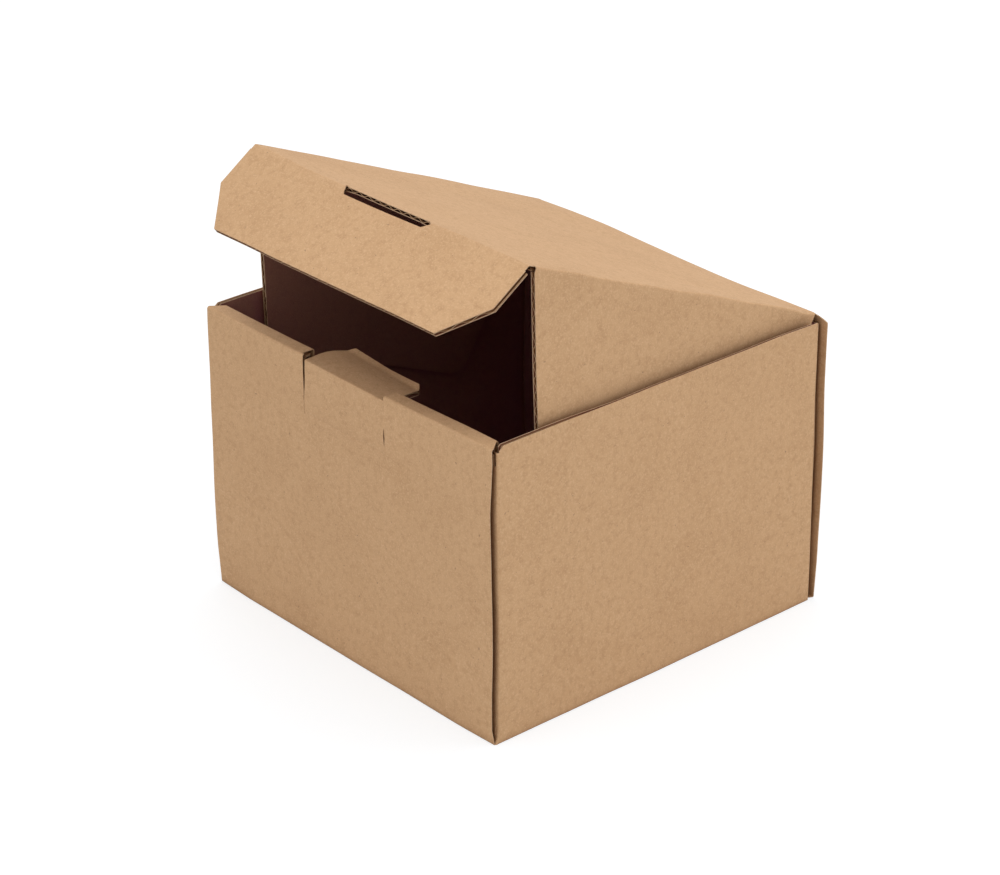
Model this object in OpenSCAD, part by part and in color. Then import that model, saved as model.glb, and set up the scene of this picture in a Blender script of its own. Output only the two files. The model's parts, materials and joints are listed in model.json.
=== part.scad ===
// Corrugated mailer box, folded from one die-cut sheet, with its lid standing ajar.
// The front wall is rolled over double, and a lock tongue is cut out of its rim.
// X runs along the front, Y from front to back and Z up; the origin is the middle of the base.

/* [Board] */
// Thickness of the corrugated board
board_t = 2.5; // [2:0.1:3.2]
// Thickness of one paper liner of the board
liner_t = 0.4; // [0.3:0.05:0.5]
// Thickness of the wavy paper between the liners
medium_t = 0.35; // [0.3:0.05:0.5]
// Width of one full wave of the board
flute_pitch = 6.4; // [5:0.1:9]
// Depth to which the open ends of the waves are hollow
flute_end = 3; // [1:0.5:5]
// Outside radius of a pressed fold
crease_r = 1.5; // [0.5:0.1:1.8]
// Space between two layers that lie on each other
layer_gap = 0.25; // [0.2:0.05:0.4]
// Space between two panels at a fold that works as a hinge
hinge_gap = 0.3; // [0.2:0.05:0.5]

/* [Tray] */
// Width over the side walls
tray_w = 200; // [170:1:240]
// Depth from the front face to the back fold
tray_d = 198; // [170:1:240]
// Height of the walls
tray_h = 142.5; // [125:0.5:170]
// How far the back wall leans out, in degrees
back_lean = 0.65; // [0:0.05:1.5]
// How far the front and back walls stay short of the side faces
wall_inset = 0.4; // [0.2:0.1:1]
// Length of the corner tabs that hold the side walls
tab_len = 56; // [45:1:62]
// How far a corner tab narrows towards its end, on each edge
tab_taper = 10; // [4:1:20]
// Corner radius of the hidden tabs
tab_r = 6; // [2:1:10]
// Space between the rear corner tabs and the back wall
rear_gap = 1.3; // [0.2:0.1:3]
// Distance of the floor locks from the middle
floor_lock_x = 52; // [35:1:60]
// Width of each floor lock
floor_lock_w = 26; // [16:1:32]

/* [Lid] */
// Angle by which the lid stands open, in degrees
lid_open = 22.9; // [21:0.1:40]
// Space between each lid side flap and the side wall
lid_side_gap = 3; // [2:0.5:6]
// Space between the closed front flap and the rolled front wall
lid_front_gap = 4; // [3:0.5:8]
// Space left between the side flaps when both are folded flat under the lid
flap_meet_gap = 4; // [2:1:30]
// Angle by which the front edge of a side flap is cut back, in degrees
side_flap_rake = 24; // [15:1:35]
// Angle by which the rear edge of a side flap is cut back, in degrees
side_flap_rear = 6; // [2:1:12]
// Distance from the lid's front fold to the side flaps
side_flap_front = 3.4; // [3.4:0.1:8]
// Distance from the lid's back fold to the side flaps
side_flap_back = 9; // [9:0.5:16]
// Corner radius of the side flaps
side_flap_r = 10; // [3:1:15]

/* [Front flap] */
// Depth of the front flap
flap_depth = 44.5; // [38:0.5:44.5]
// Length of its straight ends, before the cut corners
flap_end = 23.8; // [15:0.2:30]
// How far each cut corner takes in its lower edge
flap_corner_w = 17.7; // [8:0.1:30]
// Small radius at its corners
flap_r = 1.5; // [0.5:0.5:4]
// How far each end of the front flap stays short of the lid's side
flap_inset = 0.8; // [0.5:0.1:2]
// Angle by which the front flap is folded down, in degrees
flap_fold = 56.6; // [45:0.1:75]
// Space at each side of the tongue in the lock slot
slot_play = 1.4; // [0.3:0.1:3]
// How much narrower the slot is at its lower edge
slot_taper = 4.6; // [2:0.2:6]
// Height of the lock slot
slot_h = 3.6; // [3.2:0.1:5]

/* [Lock tongue] */
// Greatest width of the tongue
tongue_w = 56; // [46:0.5:66]
// Space at each side of the tongue in the rim
rim_play = 1.5; // [0.6:0.1:3]
// Length of the tongue from its fold
tongue_len = 26.6; // [22:0.2:26.6]
// Length of the cut corners at the tongue's end
tongue_corner = 3.5; // [3:0.5:7]
// How far each cut corner takes in the tongue's end
tongue_corner_w = 4.5; // [3.5:0.25:8]
// Distance from the fold to the widest place of the tongue
tongue_belly = 12; // [9:0.5:14]
// How much narrower each side of the tongue is at its fold
tongue_waist = 1.7; // [0.5:0.1:2.5]
// Depth of the tongue's fold below the rim
tongue_drop = 2.1; // [1:0.1:3]
// Angle by which the tongue dips from level, in degrees
tongue_dip = 2.5; // [0:0.5:5]
// Farthest that the tongue is pushed down from there, in degrees
tongue_push = 12; // [5:1:12]
// Length of the two slits beside the tongue
slit_len = 25; // [15:1:35]
// Width of the slits
slit_w = 0.9; // [0.6:0.1:1.2]
// Space round the tongue in the panel that it is cut from
notch_gap = 0.8; // [0.6:0.1:1.5]

/* [Hidden] */
$fn = 48;
kraft = "#c4a077";
kraft_lid = "#d0aa80";
over = 1;

half_w = tray_w / 2;
half_d = tray_d / 2;
in_w = half_w - board_t;
inner_w = in_w - layer_gap;
rim_d = 3 * board_t + 2 * layer_gap;
inner_y = rim_d - half_d;
front_fold_y = half_d - board_t - layer_gap;
rear_fold_y = half_d - board_t - rear_gap;
tab_low = board_t + layer_gap;
tab_high = tray_h - board_t - layer_gap;

hinge_y = half_d + tray_h * tan(back_lean);
lid_len = hinge_y - inner_y - lid_front_gap;
lid_w = 2 * (in_w - lid_side_gap);
side_flap_depth = lid_w / 2 - board_t - hinge_gap - flap_meet_gap / 2;
flap_w = lid_w - 2 * flap_inset;
flap_tip_w = flap_w - 2 * flap_corner_w;
slot_w = tongue_w + 2 * slot_play;
slot_edge_w = slot_w - slot_taper - 2 * hinge_gap;
rim_gap_w = tongue_w + 2 * rim_play;
tongue_tip_w = tongue_w - 2 * tongue_corner_w;

tongue_z = tray_h - tongue_drop;
tongue_mitre = (90 + tongue_dip + tongue_push) / 2;
wave_h = board_t - 2 * liner_t - medium_t;
wave_w = flute_pitch - 2 * medium_t;

// Half the tongue's width at a distance from its fold: a shallow curve, then the cut corners.
function tongue_side(r) = tongue_w / 2 - tongue_waist * pow((r - tongue_belly) / tongue_belly, 2);
tongue_shoulder = tongue_len - tongue_corner;
tongue_steps = [0:tongue_shoulder / 10:tongue_shoulder];

// A symmetric outline from the points of its right half.
function both_halves(half) = concat(half, [for (i = [len(half) - 1:-1:0]) [-half[i][0], half[i][1]]]);

// Points of a polygon with each corner rounded by its own radius.
function unit(v) = v / norm(v);
function corner_arc(a, b, c, r, n = 6) =
    let (u = unit(a - b), v = unit(c - b), half = acos(u * v) / 2)
    let (m = b + unit(u + v) * r / sin(half), p = b + u * r / tan(half), q = b + v * r / tan(half))
    let (s = p - m, e = q - m, turn = atan2(s[0] * e[1] - s[1] * e[0], s * e))
    [for (k = [0:n]) let (g = turn * k / n) m + [s[0] * cos(g) - s[1] * sin(g), s[0] * sin(g) + s[1] * cos(g)]];
function rounded(points, radii) = [
    for (i = [0:len(points) - 1])
        let (n = len(points), a = points[(i + n - 1) % n], b = points[i], c = points[(i + 1) % n])
        each radii[i] > 0 ? corner_arc(a, b, c, radii[i]) : [b]
];

// A bar along X that rounds the edge between a face towards -Y and a face towards -Z.
module edge_round(length, r = crease_r) {
    rotate([90, 0, 90])
        linear_extrude(length, center = true)
            difference() {
                translate([-over, -over]) square(r + over);
                translate([r, r]) circle(r);
            }
}

// A wedge along X that bevels the inner side of a fold. The board lies towards -Y and below z = 0.
module mitre(length, angle = 45) {
    reach = board_t * tan(angle);
    rotate([90, 0, 90])
        linear_extrude(length, center = true)
            polygon([
                [-hinge_gap / 2, over],
                [-hinge_gap / 2, 0],
                [-hinge_gap / 2 - reach, -board_t],
                [-hinge_gap / 2 - reach, -board_t - over],
                [over, -board_t - over],
                [over, over]
            ]);
}

// The hollow inside one wave, as an outline across the board with its outer face at 0.
module wave(up) {
    steps = 6;
    base = up ? -liner_t : liner_t - board_t;
    crown = up ? -wave_h : wave_h;
    polygon([for (k = [0:steps])
        let (u = k / steps * 2 - 1)
        [u * wave_w / 2, base + crown * (1 + cos(180 * u)) / 2]]);
}

// Places a wave's hollow every half pitch, from the middle to both ends of a span.
module waves_across(span) {
    count = floor((span / 2 - liner_t - wave_w / 2) / (flute_pitch / 2));
    for (i = [-count:count]) {
        $at = i * flute_pitch / 2;
        $up = i % 2 == 0;
        children();
    }
}

// One wave's open end, in a board that lies below z = 0. It opens towards -Y at the given y.
module wave_end(y) {
    translate([$at, y + flute_end, 0])
        rotate([90, 0, 0])
            linear_extrude(flute_end + flute_pitch)
                wave($up);
}

// Places children at both sides of the box.
module both_sides() {
    for (side = [0, 1]) mirror([side, 0, 0]) children();
}

// The tray: floor, four walls, hidden corner tabs and the rolled front, all one folded sheet.
module floor_panel() {
    linear_extrude(board_t) {
        square([2 * in_w, tray_d], center = true);
        translate([-half_w, -front_fold_y]) square([tray_w, front_fold_y + rear_fold_y]);
    }
}

// Floor slots that the rolled panel's locks drop into.
module floor_lock(gap, height) {
    both_sides()
        translate([floor_lock_x - floor_lock_w / 2 - gap, inner_y - board_t - gap, 0])
            cube([floor_lock_w + 2 * gap, board_t + 2 * gap, height]);
}

module side_wall() {
    front = -front_fold_y;
    back = rear_fold_y;
    translate([in_w, 0, 0])
        rotate([90, 0, 90])
            linear_extrude(board_t)
                polygon(rounded([
                    [front, 0],
                    [back, 0],
                    [back, tray_h],
                    [front, tray_h]
                ], [0, 0, crease_r, 2 * crease_r]));
}

// A corner tab in the plane of its wall, from the side fold towards the middle.
module corner_tab() {
    end = half_w - tab_len;
    rotate([90, 0, 0])
        linear_extrude(board_t)
            polygon(rounded([
                [half_w, tab_low],
                [half_w, tab_high],
                [end, tab_high - tab_taper],
                [end, tab_low + tab_taper]
            ], [0, 0, tab_r, tab_r]));
}

module side_with_tabs() {
    difference() {
        union() {
            side_wall();
            translate([0, board_t - front_fold_y, 0]) corner_tab();
            translate([0, rear_fold_y, 0]) corner_tab();
        }
        for (rear = [0, 1])
            mirror([0, rear, 0])
                translate([half_w, rear == 1 ? -rear_fold_y : -front_fold_y, tray_h / 2])
                    rotate([0, -90, 0])
                        edge_round(tray_h + 2 * over);
    }
}

module front_outer() {
    w = half_w - wall_inset;
    translate([0, board_t - half_d, 0])
        rotate([90, 0, 0])
            linear_extrude(board_t)
                polygon([
                    [-in_w + crease_r, 0],
                    [in_w - crease_r, 0],
                    [w, board_t],
                    [w, tray_h],
                    [-w, tray_h],
                    [-w, board_t]
                ]);
}

module front_roll() {
    translate([-inner_w, -half_d, tray_h - board_t])
        cube([2 * inner_w, rim_d, board_t]);
    translate([-inner_w, inner_y - board_t, tab_low])
        cube([2 * inner_w, board_t, tray_h - tab_low]);
    translate([0, 0, layer_gap]) floor_lock(0, 2 * board_t);
}

// What the lock tongue leaves behind in the rim and in the inner panel.
module tongue_cut() {
    flat = tray_h + tongue_drop + rim_d;
    deep = flat - tongue_len - notch_gap;
    wide = tongue_tip_w / 2 + notch_gap;
    rim_z = tray_h - board_t;
    translate([-rim_gap_w / 2, board_t - half_d, rim_z])
        cube([rim_gap_w, rim_d, board_t + over]);
    translate([-rim_gap_w / 2, -half_d - over, tongue_z])
        cube([rim_gap_w, rim_d, tray_h]);
    edge = [for (r = tongue_steps) if (flat - r < rim_z) [tongue_side(r) + notch_gap, flat - r]];
    half = concat([[rim_gap_w / 2, rim_z]], edge, [[wide, deep]]);
    translate([0, inner_y + over, 0])
        rotate([90, 0, 0])
            linear_extrude(board_t + 2 * over)
                polygon(both_halves(half));
    both_sides()
        translate([rim_gap_w / 2 - slit_w, -half_d - over, tongue_z - slit_len])
            cube([slit_w, board_t + 2 * over, slit_len + over]);
    translate([0, -half_d, tongue_z]) rotate([90, 0, 0]) mitre(rim_gap_w, tongue_mitre);
}

module back_wall() {
    height = tray_h / cos(back_lean);
    w = half_w - wall_inset;
    translate([0, half_d, 0])
        rotate([90 - back_lean, 0, 0])
            difference() {
                linear_extrude(board_t)
                    polygon([
                        [crease_r - in_w, 0],
                        [in_w - crease_r, 0],
                        [w, board_t],
                        [w, height],
                        [-w, height],
                        [-w, board_t]
                    ]);
                translate([0, height, 0]) mirror([0, 0, 1]) mitre(tray_w + 2 * over);
            }
}

module tray() {
    color(kraft)
        difference() {
            union() {
                difference() {
                    floor_panel();
                    translate([0, 0, -over]) floor_lock(layer_gap, board_t + 2 * over);
                }
                both_sides() side_with_tabs();
                difference() {
                    union() {
                        front_outer();
                        front_roll();
                    }
                    tongue_cut();
                }
                back_wall();
            }
            for (turn = [0:90:270])
                rotate([0, 0, turn])
                    translate([0, turn % 180 == 0 ? -half_d : -half_w, 0])
                        edge_round(max(tray_w, tray_d) + 2 * over);
            translate([0, -half_d, tray_h])
                mirror([0, 0, 1]) edge_round(tray_w + 2 * over);
            translate([0, inner_y, tray_h])
                rotate([180, 0, 0]) edge_round(2 * inner_w);
        }
}

// Moves what is modelled on the closed lid, with the back fold at the origin, to the open lid.
module on_lid() {
    translate([0, hinge_y, tray_h]) rotate([-lid_open, 0, 0]) children();
}

module lid() {
    color(kraft_lid)
        on_lid()
            difference() {
                translate([-lid_w / 2, -lid_len, -board_t]) cube([lid_w, lid_len, board_t]);
                mitre(lid_w + 2 * over);
                difference() {
                    translate([0, -lid_len, 0]) rotate([0, 0, 180]) mitre(lid_w + 2 * over);
                    translate([-slot_edge_w / 2, hinge_gap / 2 - lid_len, -2 * board_t])
                        cube([slot_edge_w, 3 * board_t, 3 * board_t]);
                }
                both_sides()
                    translate([lid_w / 2, -lid_len / 2, 0])
                        rotate([0, 180, 90])
                            edge_round(lid_len + 2 * over);
                waves_across(slot_edge_w) wave_end(-lid_len);
            }
}

// The front flap's outline, on the closed lid's plane, with its fold at y = 0.
function flap_outline() = rounded([
    [-flap_w / 2, 0],
    [-flap_w / 2, -flap_end],
    [-flap_tip_w / 2, -flap_depth],
    [flap_tip_w / 2, -flap_depth],
    [flap_w / 2, -flap_end],
    [flap_w / 2, 0]
], [0, flap_r, flap_r, flap_r, flap_r, 0]);

// Where the flap's edge lies at a distance from the middle.
function flap_edge(x) =
    let (side = abs(x), cut = flap_corner_w)
    side < flap_tip_w / 2 ? -flap_depth : -flap_end - (flap_depth - flap_end) * (flap_w / 2 - side) / cut;

module front_flap() {
    color(kraft_lid)
        on_lid()
            translate([0, -lid_len, 0])
                rotate([flap_fold, 0, 0])
                    difference() {
                        translate([0, 0, -board_t])
                            linear_extrude(board_t)
                                difference() {
                                    polygon(flap_outline());
                                    polygon([
                                        [-slot_w / 2, over],
                                        [-slot_w / 2, 0],
                                        [(slot_taper - slot_w) / 2, -slot_h],
                                        [(slot_w - slot_taper) / 2, -slot_h],
                                        [slot_w / 2, 0],
                                        [slot_w / 2, over]
                                    ]);
                                }
                        mitre(lid_w);
                        waves_across(flap_w) wave_end(flap_edge($at));
                        waves_across(slot_w - slot_taper)
                            translate([0, -slot_h, 0])
                                mirror([0, 1, 0]) wave_end(0);
                    }
}

// A side flap in its own plane: first number along the lid from its back fold, second downwards.
function side_flap_outline() =
    let (top = board_t + hinge_gap, low = top + side_flap_depth, front = lid_len - side_flap_front)
    rounded([
        [-side_flap_back, -top],
        [-side_flap_back - side_flap_depth * tan(side_flap_rear), -low],
        [side_flap_depth * tan(side_flap_rake) - front, -low],
        [-front, -top]
    ], [0, side_flap_r, side_flap_r, 0]);

module side_flap() {
    top = board_t + hinge_gap;
    front = lid_len - side_flap_front;
    difference() {
        translate([lid_w / 2 - board_t, 0, 0])
            rotate([90, 0, 90])
                linear_extrude(board_t)
                    polygon(side_flap_outline());
        translate([lid_w / 2, 0, -top - side_flap_depth / 2])
            rotate([0, 90, 0])
                waves_across(side_flap_depth - 2 * side_flap_r)
                    wave_end(tan(side_flap_rake) * ($at + side_flap_depth / 2) - front);
    }
}

module side_flap_right() {
    color(kraft) on_lid() side_flap();
}

module side_flap_left() {
    color(kraft) on_lid() mirror([1, 0, 0]) side_flap();
}

module lock_tongue() {
    edge = [for (r = tongue_steps) [tongue_side(r), -r]];
    half = concat(edge, [[tongue_tip_w / 2, -tongue_len]]);
    color(kraft)
        translate([0, -half_d, tongue_z])
            rotate([-tongue_dip, 0, 0])
                mirror([0, 1, 0])
                    difference() {
                        translate([0, 0, -board_t])
                            linear_extrude(board_t)
                                polygon(both_halves(half));
                        mitre(tongue_w + 2 * over, tongue_mitre);
                        waves_across(tongue_tip_w) wave_end(-tongue_len);
                    }
}

tray();
lid();
front_flap();
side_flap_left();
side_flap_right();
lock_tongue();
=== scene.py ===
# %% [markdown]
# # A corrugated mailer box with its lid ajar
# The real box is one die-cut sheet of single-wall corrugated board: two flat papers, the liners, with a
# wavy paper, the medium, glued between them. Nothing else holds it together than its folds, tabs and lock
# tongue. It could be drawn as thin blocks. Here each panel is built from its three papers, because the open
# waves at the cut ends and the thin lines of paper round them are what the eye takes for cardboard.

# %% The fixed frame
import json
import math

import bmesh
import bpy
from mathutils import Matrix, Vector, noise


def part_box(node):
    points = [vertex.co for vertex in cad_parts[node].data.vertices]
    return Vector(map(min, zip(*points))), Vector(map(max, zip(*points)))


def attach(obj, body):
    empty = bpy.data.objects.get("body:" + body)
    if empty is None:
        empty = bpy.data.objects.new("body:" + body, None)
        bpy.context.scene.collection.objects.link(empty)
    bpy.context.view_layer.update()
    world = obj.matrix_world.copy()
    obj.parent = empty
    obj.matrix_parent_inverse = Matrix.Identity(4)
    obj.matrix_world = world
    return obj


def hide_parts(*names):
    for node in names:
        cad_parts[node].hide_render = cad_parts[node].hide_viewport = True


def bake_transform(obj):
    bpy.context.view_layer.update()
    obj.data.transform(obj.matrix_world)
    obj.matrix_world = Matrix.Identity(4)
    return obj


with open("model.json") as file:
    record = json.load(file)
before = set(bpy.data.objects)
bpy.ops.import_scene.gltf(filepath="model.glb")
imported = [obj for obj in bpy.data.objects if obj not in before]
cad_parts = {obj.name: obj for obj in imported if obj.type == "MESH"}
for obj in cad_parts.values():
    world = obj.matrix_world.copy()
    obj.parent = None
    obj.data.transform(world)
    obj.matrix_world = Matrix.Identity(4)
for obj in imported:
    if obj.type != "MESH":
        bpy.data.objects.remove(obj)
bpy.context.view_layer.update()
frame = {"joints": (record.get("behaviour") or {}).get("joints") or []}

# %% [markdown]
# ## Sizes
# Everything is modelled in millimetres, as a box maker would write it down, and turned to metres at the
# end. The places of the folds come from the joints of the frame, so that every panel turns about its own
# crease.

# %% Box and folds
mm = 0.001


def joint(name):
    return next(j for j in frame["joints"] if j["name"] == name)


def joint_place(name):
    return Vector(joint(name)["pos_m"]) / mm


tray_low, tray_high = (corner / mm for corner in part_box("tray"))
lid_half_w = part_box("lid")[1].x / mm
half_w = tray_high.x
front_y = tray_low.y
back_y = -front_y
tray_h = tray_high.z
lid_fold = joint_place("lid_hinge")
flap_fold = joint_place("front_flap_hinge")
tongue_fold = joint_place("tongue_hinge")
lid_run = flap_fold - lid_fold
lid_along = lid_run.normalized()
lid_len = lid_run.length
lid_up = Vector((0, lid_run.z, -lid_run.y)).normalized()
flap_angle = math.radians(-joint("front_flap_hinge")["range_deg"][0])
tongue_dip = math.radians(2.5)
print(f"box {2 * half_w:.0f} x {back_y - front_y:.0f} x {tray_h:.1f} mm, lid {lid_len:.1f} mm long")

# %% [markdown]
# The board is 2.5 mm thick: two liners of 0.4 mm round waves that repeat every 6.4 mm. The front wall is
# folded over three boards, and the corner tabs lie between its two panels and inside the back wall.

# %% Board and clearances
board_t = 2.5
liner_t = 0.4
medium_t = 0.3
flute_pitch = 6.4
layer_gap = 0.25
wall_inset = 0.4
rim_d = 3 * board_t + 2 * layer_gap
inner_y = front_y + rim_d
front_tab_y = front_y + board_t + layer_gap
rear_tab_play = 1.3
rear_tab_y = back_y - board_t - rear_tab_play
tab_end_x = 44
tab_taper = 10
fold_r = 1.1
floor_fold_r = 0.5
print(f"front wall {rim_d:.1f} mm deep, {2 * half_w / flute_pitch:.0f} waves across the box")

# %% [markdown]
# ## How real board strays from the plan
# Folded board is never flat: creases pull it, hands dent it. Two smooth noise fields move every point by a
# few tenths of a millimetre. The shift depends only on the place, so papers that meet move together and
# stay joined. It fades out towards the floor, where the box has to stand flat. The seed keeps the noise the
# same in every run.

# %% Unevenness of the board
noise_seed = 12
noise.seed_set(noise_seed)
broad_wave = 70
broad_shift = 0.55
fine_wave = 24
fine_shift = 0.2
fine_start = Vector((5, 9, 2))
floor_fade = 12


def ramp(share):
    """The share itself between 0 and 1, and those limits outside."""
    return min(1, max(0, share))


def faded(distance, reach):
    """1 at a distance of 0, falling smoothly to 0 at the reach."""
    share = ramp(1 - abs(distance) / reach)
    return share * share * (3 - 2 * share)


def uneven(p):
    broad = noise.noise_vector(p / broad_wave) * broad_shift
    fine = noise.noise_vector(p / fine_wave + fine_start) * fine_shift
    shift = broad + fine
    shift.z *= ramp(p.z / floor_fade)
    return shift


print(f"the right wall's middle strays {uneven(Vector((half_w, 0, tray_h / 2))).length:.2f} mm")

# %% [markdown]
# This lid departs from flat in three places. Its right side fold rises in a long wave, because nothing
# holds it straight. Its left side fold is crowned a little. The fold at the back is full where the lid
# pulls at it.

# %% Bulges of the lid
ridge_wave = 34
ridge_shift = 1.5
ridge_dip = -0.15
ridge_reach = 18
left_crown = 1.2
back_full = 1.6
panel_reach = 40


def lid_ridge(p):
    """The right side fold's wave. It may rise freely but dips little, as the side flap stands under it."""
    if p.x < 0:
        return Vector()
    from_fold = p - lid_fold
    run = from_fold.dot(lid_along)
    near = faded(abs(p.x) - lid_half_w, ridge_reach) * faded(from_fold.dot(lid_up), panel_reach)
    near *= ramp(run / 25) * ramp((lid_len - run) / 15)
    wave = max(ridge_dip, noise.noise(Vector((run / ridge_wave, 3, 0.4))))
    return lid_up * near * wave * ridge_shift


def left_rise(p):
    from_fold = p - lid_fold
    near = faded(p.x + lid_half_w, 45) * faded(from_fold.dot(lid_up), panel_reach)
    return lid_up * near * ramp(from_fold.dot(lid_along) / 60) * left_crown


def back_bulge(p):
    from_fold = p - lid_fold
    near = faded(max(-from_fold.z, from_fold.dot(lid_along)), 60) * faded(p.x + 52, 85)
    return (lid_up + Vector((0, 0.4, 0))) * near * back_full


print(f"the back fold's left half is raised {back_bulge(lid_fold - Vector((52, 0, 0))).length:.2f} mm")

# %% [markdown]
# The tray's walls are held at their corners only. The left wall bows outwards below the middle, the front
# wall at its foot, and the back wall's right edge stands off the side wall. At the floor the side walls'
# front folds are pinched to a point against the front wall, where the sheet turns twice.

# %% Bulges of the walls
wall_bow = 1.28
foot_bow = 0.9
rear_edge_y = 96.4
rear_low_shift = 0.8
rear_high_shift = 0.9
pinch_height = 6
pinch_shift = 2.4
pinch_x = 97.5


def wall_bulge(p):
    low = faded(p.z - 45, 90) * min(1, p.z / 20)
    return Vector((-1, -0.4, 0)) * low * faded(p.x + half_w, 60) * wall_bow


def foot_bulge(p):
    near = faded(p.z, 60) * ramp((-60 - p.y) / 30) * ramp((half_w - abs(p.x)) / 25)
    return Vector((0, -foot_bow * near, 0))


def rear_bulge(p):
    off = ramp((p.y - rear_edge_y) / 1.6) * faded(p.x - half_w, 60)
    out = rear_low_shift + rear_high_shift * faded(p.z - 70, 60)
    return Vector((0, off * out * ramp(p.z / 20), rear_high_shift * off * ramp((p.z - 120) / 20)))


def corner_pinch(p):
    near = max(0, 1 - p.z / pinch_height) ** 2 * faded(p.y - front_tab_y, 5)
    at_corner = abs(p.x) > pinch_x and p.y > front_tab_y - 1
    return Vector((0, -pinch_shift * near if at_corner else 0, 0))


def stray(p):
    """Where a point of the plan really ends up."""
    bulges = lid_ridge(p) + left_rise(p) + back_bulge(p) + rear_bulge(p) + wall_bulge(p) + foot_bulge(p)
    return p + uneven(p) + bulges + corner_pinch(p)


left_middle = Vector((-half_w, 0, tray_h / 3))
print(f"the left wall strays {(stray(left_middle) - left_middle).length:.2f} mm a third of the way up")

# %% [markdown]
# ## Papers
# A flat paper starts as a grid, so that it has points to stray with. Straight cuts take it back to its
# outline, one for each side, as the knives of the cutting die do. A hole is punched by the same cuts, after
# which the faces inside it are deleted.

# %% Flat papers
cell = 6


def grid_paper(outline, step_x=cell, step_y=cell):
    xs, ys = zip(*outline)
    size = Vector((max(xs) - min(xs), max(ys) - min(ys), 1))
    middle = Vector(((max(xs) + min(xs)) / 2, (max(ys) + min(ys)) / 2, 0))
    bm = bmesh.new()
    columns = math.ceil(size.x / step_x)
    rows = math.ceil(size.y / step_y)
    bmesh.ops.create_grid(bm, x_segments=columns, y_segments=rows, size=0.5)
    bmesh.ops.scale(bm, vec=size, verts=bm.verts)
    bmesh.ops.translate(bm, vec=middle, verts=bm.verts)
    return bm


def rectangle(x0, x1, y0, y1):
    return [(x0, y0), (x1, y0), (x1, y1), (x0, y1)]


print("a flat paper's grid has cells of", cell, "mm")

# %% [markdown]
# A knife is one straight cut. Given a test of place it cuts only there, so that the front panel can be slit
# without marking the one behind it. Keeping the inside trims a paper to its outline.

# %% Knives and punches
def sides_of(outline, where=Matrix()):
    """A point and the outward direction of each side of a counter-clockwise outline in a panel's plane."""
    ring = list(outline[1:]) + [outline[0]]
    for (x0, y0), (x1, y1) in zip(outline, ring):
        yield where @ Vector((x0, y0, 0)), where.to_3x3() @ Vector((y1 - y0, x0 - x1, 0)).normalized()


def everywhere(centre):
    return True


def knife(bm, point, normal, among=everywhere, keep_inside=False):
    faces = [f for f in bm.faces if among(f.calc_center_median())]
    edges = {e for f in faces for e in f.edges}
    verts = {v for f in faces for v in f.verts}
    geom = [*verts, *edges, *faces]
    bmesh.ops.bisect_plane(
        bm, geom=geom, dist=1e-5, plane_co=point, plane_no=normal, clear_outer=keep_inside
    )


def trim(bm, outline):
    for point, normal in sides_of(outline):
        knife(bm, point, normal, keep_inside=True)


def punch(bm, outline, where=Matrix(), among=everywhere):
    for point, normal in sides_of(outline, where):
        knife(bm, point, normal, among)
    sides = list(sides_of(outline, where))
    inside = []
    for face in bm.faces:
        centre = face.calc_center_median()
        if among(centre) and all((centre - point).dot(normal) < 0 for point, normal in sides):
            inside.append(face)
    bmesh.ops.delete(bm, geom=inside, context="FACES")


print("knives for a rectangle:", len(list(sides_of(rectangle(0, 1, 0, 1)))))


# %% [markdown]
# A folded paper starts as a line of edges, its profile. Bevelling the line's inner corners rounds the
# folds, an extrusion draws the line out across the box, and cuts along it give the paper its grid. The
# profile is written so that the printed side lies to its right.

# %% Folded papers
fold_steps = 6


def folded_paper(path, radii, length, step=cell):
    bm = bmesh.new()
    corners = [bm.verts.new((-length / 2, y, z)) for y, z in path]
    for pair in zip(corners, corners[1:]):
        bm.edges.new(pair)
    for before, corner, after, radius in zip(path, corners[1:-1], path[2:], radii):
        here = Vector(corner.co.yz)
        turn = (here - Vector(before)).angle(Vector(after) - here)
        offset = radius * math.tan(turn / 2)
        settings = {"affect": "VERTICES", "segments": fold_steps, "profile": 0.5, "material": -1}
        bmesh.ops.bevel(bm, geom=[corner], offset=offset, **settings)
    for edge in bm.edges[:]:
        cuts = math.ceil(edge.calc_length() / step) - 1
        if cuts > 0:
            bmesh.ops.subdivide_edges(bm, edges=[edge], cuts=cuts)
    drawn = bmesh.ops.extrude_edge_only(bm, edges=bm.edges[:])["geom"]
    ends = [g for g in drawn if isinstance(g, bmesh.types.BMVert)]
    bmesh.ops.translate(bm, verts=ends, vec=(length, 0, 0))
    across = [e for e in bm.edges if abs(e.verts[0].co.x - e.verts[1].co.x) > length / 2]
    bmesh.ops.subdivide_edges(bm, edges=across, cuts=math.ceil(length / step) - 1, use_grid_fill=True)
    bmesh.ops.recalc_face_normals(bm, faces=bm.faces)
    bm.normal_update()
    first = min(bm.faces, key=lambda f: (f.calc_center_median() - Vector((0, *path[0]))).length)
    run = Vector(path[1]) - Vector(path[0])
    if first.normal.dot(Vector((0, run.y, -run.x))) < 0:
        bmesh.ops.reverse_faces(bm, faces=bm.faces)
        bm.normal_update()
    return bm


print("steps in a fold's arc:", fold_steps)


# %% [markdown]
# Each paper then gets its thickness, always away from its printed side, and the narrow faces round it get
# the next material, which is the grey fibre of a cut edge. Papers are gathered in one mesh for each panel.

# %% Thickness and gathering
LINER, INSIDE, MEDIUM = 0, 2, 4


def thicken(bm, thickness, material):
    bm.normal_update()
    border = {e for e in bm.edges if e.is_boundary}
    first = set(bm.faces)
    bmesh.ops.solidify(bm, geom=bm.faces[:], thickness=thickness)
    for face in bm.faces:
        cut = face not in first and any(e in border for e in face.edges)
        face.material_index = material + 1 if cut else material
        face.smooth = True


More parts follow.
